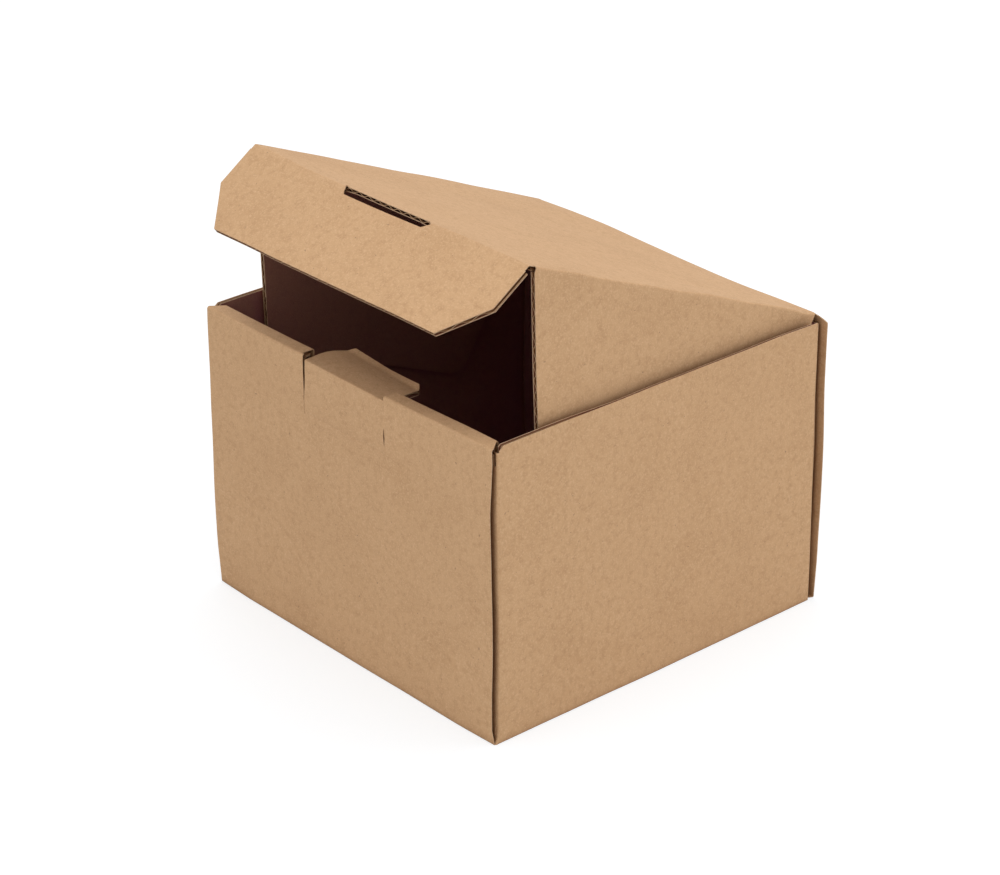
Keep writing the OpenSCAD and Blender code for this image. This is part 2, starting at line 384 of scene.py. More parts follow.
def gather(papers):
    """One bmesh from several, each a (bmesh, matrix) pair."""
    whole = bmesh.new()
    for bm, where in papers:
        bm.transform(where)
        sheet = bpy.data.meshes.new("sheet")
        bm.to_mesh(sheet)
        bm.free()
        whole.from_mesh(sheet)
        bpy.data.meshes.remove(sheet)
    return whole


def place(origin, across, outward):
    """A panel's place: its x runs across the waves and its z points out of the box."""
    x, z = Vector(across).normalized(), Vector(outward).normalized()
    turn = Matrix((x, z.cross(x), z)).transposed()
    return Matrix.Translation(Vector(origin)) @ turn.to_4x4()


print("cut edges have the face kinds", LINER + 1, INSIDE + 1, MEDIUM + 1)


# %% [markdown]
# ## Corrugated board
# The inner liner is a flat paper that faces the other way. The medium is a finely cut grid whose points
# rise and fall as a cosine across the sheet, so it shows its true waves wherever a knife went through the
# board.

# %% Board
wave_steps = 10
wave_rise = (board_t - 2 * liner_t - medium_t) / 2


def across_waves(bm, axis=0):
    """Keeps each point's distance across the waves, which the paper's faint ribs follow."""
    layer = bm.verts.layers.float.new("across")
    for v in bm.verts:
        v[layer] = v.co[axis] * mm


def outer_liner(outline, holes=(), step=cell):
    bm = grid_paper(outline, step, step)
    trim(bm, outline)
    for hole in holes:
        punch(bm, hole)
    across_waves(bm)
    thicken(bm, liner_t, LINER)
    return bm


def inner_liner(outline, holes=(), step=cell):
    bm = grid_paper(outline, step, step)
    trim(bm, outline)
    for hole in holes:
        punch(bm, hole)
    across_waves(bm)
    bmesh.ops.translate(bm, vec=(0, 0, -board_t), verts=bm.verts)
    bmesh.ops.reverse_faces(bm, faces=bm.faces)
    thicken(bm, liner_t, INSIDE)
    return bm


def medium(outline, holes=(), step=cell):
    bm = grid_paper(outline, flute_pitch / wave_steps, step)
    trim(bm, outline)
    for hole in holes:
        punch(bm, hole)
    across_waves(bm)
    middle = (medium_t - board_t) / 2
    for v in bm.verts:
        v.co.z = middle + wave_rise * math.cos(2 * math.pi * v.co.x / flute_pitch)
    thicken(bm, medium_t, MEDIUM)
    return bm


print(f"the medium's waves are {2 * wave_rise:.1f} mm high")


# %% [markdown]
# ## Colours and materials
# Unbleached kraft liner is a warm light brown with a soft cloudy look from the way its fibres settled,
# darker and paler specks of single fibres, and hardly any gloss. Colours are written as the hex values that
# a colour picker shows and turned to linear light by one function. One small function adds a node with its
# settings and links.

# %% Material helpers
def linear(hex_colour):
    parts = [int(hex_colour[i:i + 2], 16) / 255 for i in (0, 2, 4)]
    return [c / 12.92 if c <= 0.04045 else ((c + 0.055) / 1.055) ** 2.4 for c in parts] + [1]


def add(tree, kind, settings=(), links=(), **values):
    """Adds a node. Values set its own fields, settings its sockets, and links feed its sockets."""
    node = tree.nodes.new(kind)
    for field, value in values.items():
        setattr(node, field, value)
    for socket, value in dict(settings).items():
        node.inputs[socket].default_value = value
    for socket, source in dict(links).items():
        tree.links.new(source, node.inputs[socket])
    return node


# %% [markdown]
# A paper's tone is put together from parts. A cloud is noise with a real size. A place's openness says how
# much it sees within a reach, which tells narrow gaps and the closed inside from open panels, and so where
# painted shade goes. Either is stretched between two limits, and one tone is mixed over another by that
# amount.

# %% Parts of a tone
def cloud(tree, where, size_mm, detail, seed):
    moved = add(tree, "ShaderNodeMapping", {"Location": (seed, seed * 0.7, 0)}, {"Vector": where})
    settings = {"Scale": 1 / (size_mm * mm), "Detail": detail, "Roughness": 0.6}
    made = add(tree, "ShaderNodeTexNoise", settings, {"Vector": moved.outputs["Vector"]})
    return made.outputs["Fac"]


def openness(tree, reach_mm):
    made = add(tree, "ShaderNodeAmbientOcclusion", {"Distance": reach_mm * mm}, samples=4)
    return made.outputs["AO"]


def between(tree, source, low, high, top=1.0):
    settings = {1: low, 2: high, 3: 0.0, 4: top}
    return add(tree, "ShaderNodeMapRange", settings, {0: source}).outputs[0]


def mixed(tree, base, over, amount):
    made = add(tree, "ShaderNodeMix", data_type="RGBA")
    for socket, value in ((6, base), (7, over)):
        if isinstance(value, bpy.types.NodeSocket):
            tree.links.new(value, made.inputs[socket])
        else:
            made.inputs[socket].default_value = value
    tree.links.new(amount, made.inputs[0])
    return made.outputs[2]


print("a picked mid grey is", round(linear("808080")[0], 3), "in linear light")

# %% [markdown]
# The paper itself has clouds of 30 mm, flocks of 3 mm and fibres of 0.8 mm, a little coarser than real
# ones, or they would not show at this size. Dark and pale specks come from noise of which only the peaks
# are kept. Inside the box, where a place sees little of its surroundings, a dark reddish painted shade is
# mixed into the paper's colour, and every narrow gap gets a painted deep brown shade. The bump follows the
# flocks and, very faintly, the waves under the paper.

# %% Paper
# Painted shade: narrow gaps between boards are darkened to this deep brown.
painted_gap_shade = "7a4a20"
gap_reach = 5
room_reach = 150
paper_roughness = 0.82
paper_ior = 1.45
rib_share = 0.06
bump_height = 0.15


def toned(tree, where, flocks, colour, dark, pale, speck, painted_room_shade):
    layers = [
        (dark, cloud(tree, where, 30, 2, 0.13), 0.45, 0.75, 0.35),
        (dark, flocks, 0.45, 0.8, 0.8),
        (pale, cloud(tree, where, 0.8, 2, 0.57), 0.48, 0.75, 0.8),
        (speck, cloud(tree, where, 1.6, 1, 0.83), 0.75, 0.8, 0.6),
        (pale, cloud(tree, where, 1.9, 1, 1.27), 0.75, 0.8, 0.7),
    ]
    tone = linear(colour)
    for over, source, low, high, top in layers:
        tone = mixed(tree, tone, linear(over), between(tree, source, low, high, top))
    # Painted shade: where a place sees little within the room's reach, the inside of the box is darkened
    # towards a reddish brown.
    if painted_room_shade:
        tone = mixed(tree, linear(painted_room_shade), tone, between(tree, openness(tree, room_reach), 0.2, 0.9))
    # Painted shade: places that see little within the gap's reach are darkened to a deep brown.
    return mixed(tree, linear(painted_gap_shade), tone, between(tree, openness(tree, gap_reach), 0.1, 0.8))


def ribbed(tree, flocks):
    across = add(tree, "ShaderNodeAttribute", attribute_name="across").outputs["Fac"]
    turn = {1: 2 * math.pi / (flute_pitch * mm)}
    turns = add(tree, "ShaderNodeMath", turn, {0: across}, operation="MULTIPLY")
    rise = add(tree, "ShaderNodeMath", (), {0: turns.outputs[0]}, operation="COSINE")
    parts = {0: rise.outputs[0], 2: flocks}
    relief = add(tree, "ShaderNodeMath", {1: rib_share}, parts, operation="MULTIPLY_ADD")
    settings = {"Strength": 0.25, "Distance": bump_height * mm}
    return add(tree, "ShaderNodeBump", settings, {"Height": relief.outputs[0]}).outputs["Normal"]


def paper(name, colour, dark, pale, speck, painted_room_shade=None):
    material = bpy.data.materials.new(name)
    material.use_nodes = True
    tree = material.node_tree
    shader = tree.nodes["Principled BSDF"]
    where = add(tree, "ShaderNodeTexCoord").outputs["Object"]
    flocks = cloud(tree, where, 3.2, 3, 0.31)
    tone = toned(tree, where, flocks, colour, dark, pale, speck, painted_room_shade)
    tree.links.new(tone, shader.inputs["Base Color"])
    tree.links.new(ribbed(tree, flocks), shader.inputs["Normal"])
    shader.inputs["Roughness"].default_value = paper_roughness
    shader.inputs["IOR"].default_value = paper_ior
    return material


print("depth of the faint ribs:", round(bump_height * rib_share, 3), "mm")

# %% [markdown]
# Three papers make the board: the outer liner, the inner liner, a little darker, and the fluting paper,
# which is recycled and browner. Where they were cut they show loose, paler fibre. They stand in the order
# in which the kinds of face are numbered.

# %% The six papers
papers = [
    paper("kraft_liner", "cda47a", "b98f66", "dcb78f", "7d5a3c"),
    paper("kraft_liner_cut_edge", "c9a581", "a98465", "dcbf9f", "80614a"),
    paper("kraft_liner_inside", "b98f66", "a17a57", "caa37c", "6a4a31", painted_room_shade="8a4a58"),
    paper("kraft_liner_inside_cut_edge", "c2a080", "a28064", "d4b796", "7c5e46"),
    paper("fluting_paper", "8c6847", "755437", "a07c59", "573c27"),
    paper("fluting_paper_cut_edge", "b08c69", "93704f", "c2a17f", "6d5038"),
]
print("materials:", [m.name for m in papers])

# %% [markdown]
# ## Finishing a piece
# A finished piece is strayed, turned to metres and given its materials. Smooth shading is kept inside a
# fold and broken at the cut edges. The left side of the box mirrors the right, so one drawing serves both.

# %% Finishing a piece
sharp_angle = math.radians(40)
made_pieces = []


def piece(name, bm, body=None, other_side=False):
    """Makes an object of a bmesh. Without a body it is left unattached."""
    if other_side:
        bmesh.ops.scale(bm, vec=(-1, 1, 1), verts=bm.verts)
        bmesh.ops.reverse_faces(bm, faces=bm.faces)
    for v in bm.verts:
        v.co = stray(v.co) * mm
    mesh = bpy.data.meshes.new(name)
    bm.to_mesh(mesh)
    bm.free()
    mesh.set_sharp_from_angle(angle=sharp_angle)
    for material in papers:
        mesh.materials.append(material)
    made = bpy.data.objects.new(name, mesh)
    bpy.context.scene.collection.objects.link(made)
    if body:
        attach(made, body)
    made_pieces.append(name)
    return made


print("edges sharper than", round(math.degrees(sharp_angle)), "degrees stay sharp")


# %% [markdown]
# ## The tray's wrapping paper
# One liner runs unbroken from the top of the back wall, under the floor, up the front wall, over the rim
# and down inside. It is drawn as one folded paper, whose width then follows the panels: full on the walls,
# narrow on the floor, and rounded off at the top corners, where the front wall meets the narrower rim. The
# front wall is a little short at its right edge, which is why a dark line shows there between the two
# walls.

# %% Front, floor and back liner
lean = math.atan2(lid_fold.y - back_y, tray_h)
panel_half_w = half_w - wall_inset
floor_half_w = 96
rim_front_half_w = 99.3
rim_back_half_w = 94.8
corner_drop = 8
front_short = 1.7
short_end = 6
short_fade = 25
back_fold_r = 6
back_margin = 6.5
rim_gap = 29.5
tongue_margin = 3


def spine_half_width(y, z):
    if z < board_t:
        inside = ramp((back_y - fold_r - abs(y)) / (2 * board_t))
        low = 0.2 * max(0, 1 - z / fold_r) ** 2
        return panel_half_w - low - (panel_half_w - low - floor_half_w) * inside
    if y > 0:
        return panel_half_w
    if y > front_y + fold_r:
        across_rim = min(1, (y - front_y) / (rim_d - fold_r))
        return rim_front_half_w - (rim_front_half_w - rim_back_half_w) * across_rim
    rise = max(0, (z - tray_h + corner_drop) / corner_drop)
    return panel_half_w - (panel_half_w - rim_front_half_w) * rise ** 2


spine_path = [
    (inner_y, board_t + layer_gap),
    (inner_y, tray_h),
    (front_y, tray_h),
    (front_y, 0),
    (back_y, 0),
    (back_y + (tray_h - back_margin) * math.tan(lean), tray_h - back_margin),
]
spine = folded_paper(spine_path, [fold_r, fold_r, floor_fold_r, floor_fold_r], 2 * half_w)
for v in spine.verts:
    share = v.co.x / half_w
    v.co.x = share * spine_half_width(v.co.y, v.co.z)
    if share > 0.99 and v.co.y < front_y + 0.1:
        below_top = max(0, (tray_h - short_end - v.co.z) / short_fade)
        v.co.x -= front_short * min(1, v.co.z / short_end, below_top)
print("liner profile folds:", len(spine_path) - 2, "faces:", len(spine.faces))

# %% [markdown]
# The lock tongue leaves a gap in the rim and its own shape in the inner panel. Two slits run down beside
# it, so that the tongue can give way. Handling has pulled the left slit open like a narrow wedge with a
# fine seam below it, and the right one only bulges open halfway down.

# %% Outlines of the tongue's gap and slits
front_place = place((0, front_y, 0), (1, 0, 0), (0, -1, 0))
inner_place = place((0, inner_y, 0), (-1, 0, 0), (0, 1, 0))
tongue_neck = (-26.3, 28.5)
rim_left = 27.6
past_top = tray_h + 5
tongue_gap = rectangle(-rim_left, tongue_neck[1] + 0.1, tongue_fold.z - tongue_margin, past_top)
notch_low = tray_h - 17.3
notch_corner = notch_low + 4.3
notch = [
    (22.8, notch_low),
    (28.2, notch_corner),
    (29.3, tray_h - board_t),
    (rim_gap, past_top),
    (-rim_left - 0.2, past_top),
    (-rim_left, tray_h - board_t),
    (-27.4, notch_corner),
    (-22.8, notch_low),
]
left_slit = [
    (-28.1, tray_h - 22),
    (-27.0, tray_h - 14.5),
    (-26.55, tray_h - 9.5),
    (tongue_neck[0], past_top),
    (-rim_left, past_top),
    (-27.9, tray_h - 10),
]
left_seam = [(-28.42, tray_h - 29), (-28.3, tray_h - 29), (-28.05, tray_h - 20), (-28.35, tray_h - 20)]
right_slit = [(28.6, tray_h - 24.5), (29.0, tray_h - 20), (28.5, tray_h - 15), (28.0, tray_h - 20)]
slits = [left_slit, right_slit]
print("gap in the rim:", round(rim_left + rim_gap, 1), "mm wide")

# %% [markdown]
# Between the slits' lower ends the front panel gives way when the tongue is pressed, which has left a faint
# crease: three cuts across, of which the middle one is pushed in.

# %% Cutting the gap, the slits and the crease
above_tabs = 60
crease_z = tray_h - 28.2
crease_half = 0.5
crease_depth = 0.16
crease_end = 28.5


def in_front(centre):
    return centre.y < front_y + rim_d / 2 and centre.z > above_tabs


def inside_front(centre):
    return front_y + rim_d / 2 < centre.y < 0 and centre.z > above_tabs


punch(spine, tongue_gap, front_place, in_front)
for slit in (*slits, left_seam):
    punch(spine, slit, front_place, in_front)
punch(spine, notch, front_place, inside_front)
for level in (crease_z - crease_half, crease_z, crease_z + crease_half):
    knife(spine, Vector((0, 0, level)), Vector((0, 0, 1)), in_front)
for v in spine.verts:
    if abs(v.co.z - crease_z) < 0.1 and v.co.y < front_y + 0.1 and abs(v.co.x) < crease_end:
        v.co.y += crease_depth
across_waves(spine)
thicken(spine, liner_t, LINER)
print("faces with the gap cut:", len(spine.faces))

# %% [markdown]
# The side walls are folded up from the floor and wrapped round both corners by their tabs. Their liner is a
# folded paper that stands on end. Its lowest strip is rolled under the box along an arc, as the crease
# does.

# %% Standing papers
def stand_up(bm):
    """Turns a folded paper from lying along X to standing along Z. Its profile is then in X and Y."""
    bm.transform(Matrix(((0, 1, 0, 0), (0, 0, 1, 0), (1, 0, 0, 0), (0, 0, 0, 1))))


def roll_under(bm, edge_x, radius):
    """Rolls the part of a standing paper below the arc's height inwards under the floor."""
    for v in bm.verts:
        run = radius - v.co.z
        if run > 0 and v.co.x > edge_x - 0.01:
            turn = min(run / radius, math.pi / 2)
            v.co.x -= radius * (1 - math.cos(turn)) + max(0, run - radius * math.pi / 2)
            v.co.z = radius * (1 - math.sin(turn))


print(f"the floor fold's arc takes {floor_fold_r * math.pi / 2:.2f} mm of paper")

# %% [markdown]
# Only a short stub of the liner goes round each corner, as the tab behind it is hidden. The front top
# corner is cut off at a slant.

# %% Side liner
front_stub = 6
rear_stub = 2.4
wall_top = tray_h
under_floor = 4.5
stub_top = wall_top - 9
slant_start = 3.6
slant = Vector((0, -2.6, slant_start)).normalized()
arc_levels = (0.1, 0.2, 0.35, 0.5, 1, 3, 6)


def side_liner():
    path = [
        (half_w - front_stub, front_tab_y),
        (half_w, front_tab_y),
        (half_w, rear_tab_y),
        (half_w - rear_stub, rear_tab_y),
    ]
    bm = folded_paper(path, [fold_r] * 2, wall_top + under_floor)
    stand_up(bm)
    bmesh.ops.translate(bm, verts=bm.verts, vec=(0, 0, (wall_top - under_floor) / 2))
    for level in (board_t, stub_top, wall_top - board_t, *arc_levels):
        knife(bm, Vector((0, 0, level)), Vector((0, 0, 1)))
    ends = []
    for face in bm.faces:
        centre = face.calc_center_median()
        if centre.x < half_w - 0.01 and not arc_levels[0] < centre.z < wall_top - board_t:
            ends.append(face)
        elif centre.y < 0 and centre.x < half_w - fold_r and centre.z > stub_top:
            ends.append(face)
    bmesh.ops.delete(bm, geom=ends, context="FACES")
    knife(bm, Vector((0, front_tab_y + slant_start, wall_top)), slant, keep_inside=True)
    across_waves(bm, axis=2)
    roll_under(bm, half_w, floor_fold_r)
    return bm


print(f"side liner before it is rolled under: {wall_top + under_floor:.1f} mm high")

# %% [markdown]
# Behind each wrapped liner stand the medium and the inner liner as flat sheets. On top of a side wall the
# board has been crushed by handling towards its front, so the waves sink in there.

# %% Side walls
fold_inset = 2.4
crush_reach = 8
crush_end = 55
crush_fade = 25
medium_drop = 1.3
inner_drop = 0.7


def board_core(outline, where, holes=(), recess=0, top=None):
    """The medium and the inner liner behind a panel whose outer liner is part of a folded paper.
    A recess keeps the inner liner back from the panel's side edges, and a top crushes the board along it."""
    narrow = [(x - math.copysign(recess, x), y) for x, y in outline]
    core = [(medium(outline, holes), medium_drop), (inner_liner(narrow, holes), inner_drop)]
    if top:
        for bm, drop in core:
            for v in bm.verts:
                share = ramp((crush_end - v.co.y) / crush_fade)
                v.co.x -= drop * share * max(0, 1 - (top - v.co.x) / crush_reach)
    return [(bm, where) for bm, drop in core]


side_place = place((half_w, 0, 0), (0, 0, 1), (1, 0, 0))
side_outline = [
    (fold_inset, fold_inset - rear_tab_y),
    (wall_top, fold_inset - rear_tab_y),
    (wall_top, -front_tab_y - slant_start),
    (wall_top - 1, -front_tab_y - fold_inset),
    (fold_inset, -front_tab_y - fold_inset),
]
for name, other_side in (("side_wall_right", False), ("side_wall_left", True)):
    liner = side_liner()
    thicken(liner, liner_t, LINER)
    panel = gather([(liner, Matrix()), *board_core(side_outline, side_place, top=wall_top)])
    print(name, "has", len(panel.faces), "faces")
    piece(name, panel, "tray", other_side)

# %% [markdown]
# The corner tabs run behind the front and back walls. Those at the back are seen from inside the box, and
# the ends of the rolled front wall show that a tab lies in it.

# %% Corner tabs
tab_low = board_t + layer_gap
tab_high = wall_top - board_t - 1.2


def tab(y, outward):
    side = -outward
    corner = half_w - fold_inset
    outline = [
        (tab_low, side * corner),
        (tab_high, side * corner),
        (tab_high - tab_taper, side * tab_end_x),
        (tab_low + tab_taper, side * tab_end_x),
    ]
    if side > 0:
        outline.reverse()
    where = place((0, y, 0), (0, 0, 1), (0, outward, 0))
    return [(outer_liner(outline), where), (medium(outline), where), (inner_liner(outline), where)]


for name, other_side in (("corner_tabs_right", False), ("corner_tabs_left", True)):
    piece(name, gather(tab(front_tab_y, -1) + tab(rear_tab_y, 1)), "tray", other_side)
print(f"each tab reaches {half_w - tab_end_x:.0f} mm in from its corner")

# %% [markdown]
# Behind the wrapping paper stand the boards of the floor, the front and back walls, the rim and the inner
# front panel. Each core stops short of its folds, where real board is crushed thin.

# %% Outlines of the tray's boards
edge_x = panel_half_w - 0.9
corner_step = 2.5
rim_step = 4
step_low = tray_h - 30
front_outline = [
    (-edge_x, fold_inset),
    (edge_x - front_short, fold_inset),
    (edge_x - front_short, step_low),
    (edge_x - corner_step, tray_h - corner_drop),
    (rim_front_half_w - rim_step, tray_h - fold_inset),
    (rim_step - rim_front_half_w, tray_h - fold_inset),
    (corner_step - edge_x, tray_h - corner_drop),
    (-edge_x, step_low),
]
tongue_hole = rectangle(-rim_left, rim_gap, tongue_fold.z - board_t - 1.6, tray_h)
floor_y = back_y - fold_inset
floor_outline = rectangle(-half_w + board_t, half_w - board_t, -floor_y, floor_y)
rim_outline = [
    (rim_step - rim_front_half_w, front_y + fold_inset),
    (rim_front_half_w - rim_step, front_y + fold_inset),
    (rim_back_half_w - 1, inner_y - fold_inset),
    (1 - rim_back_half_w, inner_y - fold_inset),
]
rim_hole = rectangle(-rim_left - 0.4, rim_gap, front_y, inner_y)
inner_outline = rectangle(-rim_back_half_w, rim_back_half_w, board_t + layer_gap, tray_h - fold_inset)
print(f"floor board {2 * floor_y:.0f} mm deep")

# %% [markdown]
# The back wall leans out a little, as the lid pushes its top back. Its waves are counted from its right
# edge. The rim's left end is cut at a slant: it is sheared to the left towards the inside of the box, and
# the notch below it follows.

# %% Tray board
floor_place = place((0, 0, 0), (1, 0, 0), (0, 0, -1))
rim_place = place((0, 0, tray_h), (1, 0, 0), (0, 0, 1))
back_up = Vector((0, math.sin(lean), math.cos(lean)))
back_shift = edge_x - 15 * flute_pitch
back_place = place((back_shift, back_y, 0), (-1, 0, 0), (0, math.cos(lean), -math.sin(lean)))
back_recess = 3
back_half_w = edge_x - back_recess
back_outline = rectangle(back_shift - back_half_w, back_shift + back_half_w, fold_inset, tray_h - 4)
rim_slant = 1.7
tray_board = gather([
    (spine, Matrix()),
    *board_core(floor_outline, floor_place),
    *board_core(front_outline, front_place, [tongue_hole, *slits], recess=2.5),
    *board_core(rim_outline, rim_place, [rim_hole]),
    *board_core(inner_outline, inner_place, [notch]),
    *board_core(back_outline, back_place),
])
for v in tray_board.verts:
    inwards = ramp((v.co.y - front_y) / rim_d) * (v.co.y < 0)
    v.co.x -= rim_slant * inwards * faded(v.co.x + rim_left, 16) * ramp((v.co.z - notch_low) / 10)
piece("front_floor_and_back", tray_board, "tray")
print("tray pieces:", made_pieces)

# %% [markdown]
# ## Lid, flaps and tongue
# Each moving panel is a board of its own with both liners, laid on its plane. The lid's board stops short
# of its folds, apart from the middle of its front edge, where the lock slot lays the waves open. The slot
# is not quite parallel to the fold, and the die's knife has pressed the board thinner at its edge.

# %% Lid
lid_place = place(flap_fold, (1, 0, 0), lid_up)
lid_edge_x = lid_half_w - 2.4
slot_left, slot_right, slot_right_point = -27.7, 27, 31.2
slot_back_left, slot_back_right = 1.2, 3.4
slot_left_slant, slot_right_slant = 0.5, 1.2
flap_margin = 3
slot_press = 0.36
press_end = 4
press_fade = 5
lid_outline = rectangle(-lid_edge_x, lid_edge_x, 0, lid_len - back_margin)
lid_corners = [
    rectangle(slot_right, lid_half_w, -1, flap_margin),
    rectangle(-lid_half_w, slot_left, -1, flap_margin),
    [(-26.6, -1), (31, -1), (slot_right, slot_back_right), (slot_left, slot_back_left)],
]


def whole_board(outline, where, holes=(), press=None, step=cell):
    """All three papers of a panel. The press, if any, moves their points before they are placed."""
    papers_of_board = [make(outline, holes, step) for make in (outer_liner, medium, inner_liner)]
    if press:
        for bm in papers_of_board:
            for v in bm.verts:
                v.co = press(*v.co)
    return [(bm, where) for bm in papers_of_board]


def press_slot_edge(x, y, z):
    inside = ramp(min(slot_right - x, x - slot_left) / press_end)
    near = inside * ramp(1 - (y - slot_back_left) / press_fade)
    return x, y, z * (1 - slot_press * near)


lid_papers = whole_board(lid_outline, lid_place, lid_corners, press_slot_edge)
piece("lid_board", gather(lid_papers), "lid")
print(f"lid board {2 * lid_edge_x:.0f} x {lid_len - back_margin:.0f} mm")

# %% [markdown]
# The front flap hangs folded down from the lid. Its lower corners are cut off, so that it slides between
# the side walls, and its upper edge holds the other half of the slot.

# %% Front flap
flap_depth = 44.5
flap_end = 23.8
flap_half_w = 93.7
flap_low_half_w = 76
flap_turn = math.atan2(lid_run.z, -lid_run.y) - flap_angle
flap_down = Vector((0, -math.cos(flap_turn), math.sin(flap_turn)))
flap_out = Vector((0, math.sin(flap_turn), math.cos(flap_turn)))
flap_place = place(flap_fold, (1, 0, 0), flap_out)
flap_outline = [
    (-flap_low_half_w, -flap_depth),
    (flap_low_half_w, -flap_depth),
    (flap_half_w, -flap_end),
    (flap_half_w, -flap_margin),
    (-flap_half_w, -flap_margin),
    (-flap_half_w, -flap_end),
]
slot_outline = [(-24.8, -3.9), (27.4, -3.6), (28.3, -3), (31, 0.5), (-27, 0.5)]
piece("front_flap_board", gather(whole_board(flap_outline, flap_place, [slot_outline])), "front_flap")
print(f"front flap {2 * flap_half_w:.0f} x {flap_depth:.1f} mm")

# %% [markdown]
# The side flaps hang from the lid inside the tray's walls. Their front edges are cut back at a slant, so
# the waves there are cut across and show as a row of small openings.

# %% Side flap outline
side_flap_depth = 89.7
side_flap_top = board_t + 0.3
side_flap_low = side_flap_top + side_flap_depth
rake = math.tan(math.radians(24))
rear_rake = math.tan(math.radians(6))
corner_r = 10
flap_front = lid_len - 3.4
flap_back = 9
flap_back_top = 3.2
back_low = (side_flap_low, -flap_back - side_flap_depth * rear_rake)


def rounded_corner(before, corner, after, radius, steps=5):
    """Points of the arc that rounds one corner of an outline."""
    to_before, to_after = (Vector(before) - Vector(corner)), (Vector(after) - Vector(corner))
    to_before.normalize()
    to_after.normalize()
    half = to_before.angle(to_after) / 2
    reach = radius / math.tan(half)
    centre = Vector(corner) + (to_before + to_after).normalized() * radius / math.sin(half)
    first = (Vector(corner) + to_before * reach - centre).normalized()
    last = (Vector(corner) + to_after * reach - centre).normalized()
    return [tuple(centre + radius * first.slerp(last, i / steps)) for i in range(steps + 1)]


def side_flap_outline(front):
    """The flap's outline, its front edge starting at a distance along the lid."""
    back_top = (side_flap_top, -flap_back_top)
    front_top = (side_flap_top, -front)
    front_low = (side_flap_low, side_flap_depth * rake - front)
    outline = [
        back_top,
        *rounded_corner(back_top, back_low, front_low, corner_r),
        *rounded_corner(back_low, front_low, front_top, corner_r),
        front_top,
    ]
    ring = outline[1:] + outline[:1]
    turned = sum(x0 * y1 - x1 * y0 for (x0, y0), (x1, y1) in zip(outline, ring))
    return outline if turned > 0 else outline[::-1]


print("points in a side flap's outline:", len(side_flap_outline(flap_front)))

# %% [markdown]
# Both flaps are the same die cut, but the left one reaches a millimetre further forward and leans against
# its wall. A strip behind them is cut away, where they would foul the back wall's fold.

# %% Side flaps
wall_lean = 1.3
lean_reach = 40
strip_start = 5.3
strip = [(strip_start, -6.9), back_low, (side_flap_low, 0), (strip_start, 0)]


def bow_out(x, y, z):
    return x, y, z + wall_lean * min(1, x / lean_reach)


side_flap_place = place((lid_half_w, *lid_fold.yz), -lid_up, (1, 0, 0))
for name, other_side, body, front, press in (
    ("side_flap_board_right", False, "side_flap_right", flap_front, None),
    ("side_flap_board_left", True, "side_flap_left", flap_front + 1, bow_out),
):
    board = gather(whole_board(side_flap_outline(front), side_flap_place, [strip], press))
    print(name, "has", len(board.faces), "faces")
    piece(name, board, body, other_side)

# %% [markdown]
# The lock tongue is cut from the rim and the inner panel and springs up at its fold. It is widest a little
# behind its fold and has two cut corners at its end. Use has bent it slightly to one side.

# %% Lock tongue
tongue_len = 26.6
tongue_bend = 1.4
tongue_twist = 1.5
bend_end = 23.5
lip_start = 24.2
tongue_cell = 1.5
tongue_out = Vector((0, math.sin(tongue_dip), math.cos(tongue_dip)))
tongue_place = place(tongue_fold, (1, 0, 0), tongue_out)
right_edge = [(28.4, tongue_margin), (28.6, 8), (28.1, 12.4), (25.9, 18.5), (23.6, 24.3), (20.7, tongue_len)]
left_edge = [(-23.5, tongue_len), (-24.9, 25), (-26.9, 20.4), (-28.1, 17.6), (-28.6, 14), (-28.0, 9)]
tongue_outline = right_edge + left_edge + [(-26.8, tongue_margin)]


def curl_tongue(x, y, z):
    """Use has bent the tongue down, more to its right, and turned the corners of its end up again."""
    bent = (tongue_bend + tongue_twist * (x + 23.3) / 44) * min(1, y / bend_end) ** 2
    lip = max(0, (y - lip_start) / (tongue_len - lip_start))
    return x, y, z * (1 - 0.2 * lip) - bent + lip * (0.15 + 0.8 * abs(x) / 22)


tongue_papers = whole_board(tongue_outline, tongue_place, (), curl_tongue, step=tongue_cell)
piece("lock_tongue_board", gather(tongue_papers), "lock_tongue")
print(f"the tongue's right corner is bent down {-curl_tongue(20.7, tongue_len, 0)[2]:.1f} mm")

# %% [markdown]
# ## Working folds
# At a fold that works as a hinge only the outer liner runs through. Each is a narrow folded paper, wrapped
# round the crease between its two panels.

# %% Fold pieces
def fold_piece(name, bm, start, end, other_side=False):
    thicken(bm, liner_t, LINER)
    made = piece(name, bm, None, other_side)
    if other_side:
        start, end = (Vector((-p.x, p.y, p.z)) for p in (start, end))
    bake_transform(made)


def profile(points):
    return [tuple(p.yz) for p in points]


fold_cell = 4
print("pieces before the folds:", len(made_pieces))

# %% [markdown]
# The fold between the back wall and the lid is the broadest, because the board springs back there. It
# narrows from the back wall's width to the lid's beside the crease.

# %% Back fold
back_line = [
    Vector((0, *(Vector((back_y, 0)) + back_up.yz * (tray_h - back_margin) / math.cos(lean)))),
    Vector((0, *lid_fold.yz)),
    lid_fold + lid_along * back_margin,
]
back_fold = folded_paper(profile(back_line), [back_fold_r], 2 * panel_half_w, step=fold_cell)
back_arc = back_fold_r * math.tan(back_up.angle(lid_run) / 2)
for v in back_fold.verts:
    run = (v.co - lid_fold).dot(lid_along)
    share = ramp((run + 1) / 3)
    v.co.x *= 1 + (lid_edge_x / panel_half_w - 1) * share
across_waves(back_fold)
back_start = lid_fold - back_up * back_arc
back_end = lid_fold + lid_along * back_arc
fold_piece("back_fold", back_fold, back_start, back_end)
print(f"back fold's arc reaches {back_arc:.1f} mm to each side")

# %% [markdown]
# The front fold has two halves, one on each side of the lock slot. Their inner ends make the slot's
# corners, so those ends are slanted: on the left in one line, on the right in a blunt point.

